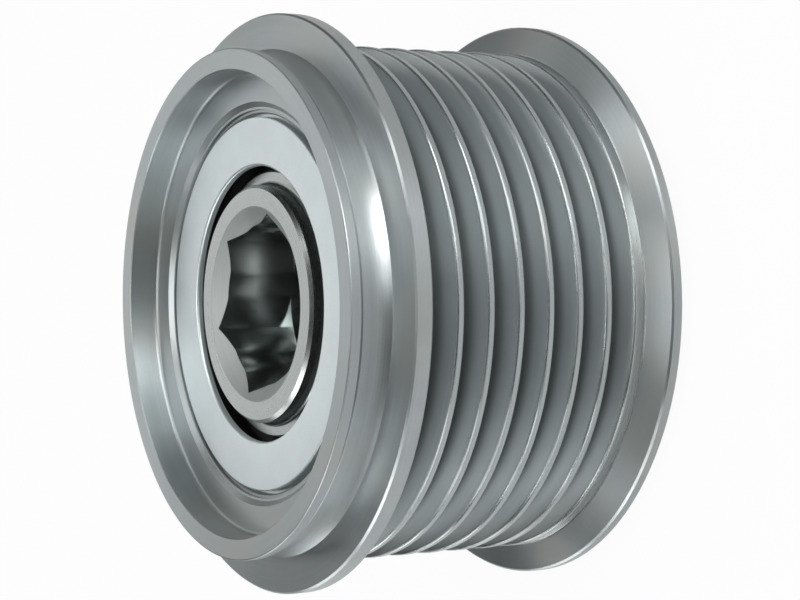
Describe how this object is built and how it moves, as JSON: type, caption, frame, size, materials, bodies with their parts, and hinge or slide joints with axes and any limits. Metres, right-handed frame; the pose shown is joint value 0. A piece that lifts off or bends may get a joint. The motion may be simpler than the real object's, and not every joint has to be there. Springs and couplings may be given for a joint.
{
  "type": "overrunning alternator pulley",
  "caption": "Freewheel pulley for a ribbed drive belt: grooved steel rim with two flanges on a threaded hub with a hexagon socket, one-way roller clutch between them.",
  "frame": {"origin": "middle of the hub's rear face, on which the pulley stands", "axes": "+Z along the pulley's axis, towards its nose and the hexagon socket; one corner of the hexagon lies on +X"},
  "size_m": [0.0614, 0.0614, 0.0378],
  "materials": {
    "rim_steel": "turned steel, thin matt zinc plating",
    "hub_steel": "ground and turned steel, satin",
    "cover_steel": "pale zinc-plated sheet, satin",
    "ring_steel": "zinc-plated spring steel",
    "case_steel": "plain drawn sheet",
    "seal_rubber": "black moulded rubber",
    "washer_plastic": "glass-filled plastic",
    "bearing_steel": "hardened and ground",
    "cage_plastic": "moulded plastic",
    "spring_steel": "bright strip"
  },
  "bodies": {
    "hub": {"hub": "hub_steel"},
    "pulley": {"pulley_body": "rim_steel", "front_cover": "cover_steel", "front_snap_ring": "ring_steel", "front_seal_case": "case_steel", "front_seal": "seal_rubber", "front_thrust_washer": "washer_plastic", "front_bearing_cup": "bearing_steel", "clutch_sleeve": "bearing_steel", "clutch_cage": "cage_plastic", "clutch_rollers": "bearing_steel", "clutch_springs": "spring_steel", "rear_bearing_cup": "bearing_steel", "rear_thrust_washer": "washer_plastic", "rear_seal": "seal_rubber", "rear_seal_case": "case_steel", "rear_cover": "cover_steel", "rear_snap_ring": "ring_steel"},
    "front_cage": {"front_bearing_cage": "cage_plastic", "front_needles": "bearing_steel"},
    "rear_cage": {"rear_bearing_cage": "cage_plastic", "rear_needles": "bearing_steel"}
  },
  "joints": [
    {"name": "pulley_spin", "type": "hinge", "parent": "hub", "child": "pulley", "pos_m": [0, 0, 0.01704], "axis": [0, 0, 1], "continuous": true},
    {"name": "front_cage_spin", "type": "hinge", "parent": "hub", "child": "front_cage", "pos_m": [0, 0, 0.025], "axis": [0, 0, 1], "continuous": true},
    {"name": "rear_cage_spin", "type": "hinge", "parent": "hub", "child": "rear_cage", "pos_m": [0, 0, 0.01], "axis": [0, 0, 1], "continuous": true}
  ],
  "couplings": [
    {"joint": "front_cage_spin", "follows": "pulley_spin", "ratio": 0.5393},
    {"joint": "rear_cage_spin", "follows": "pulley_spin", "ratio": 0.5393}
  ]
}
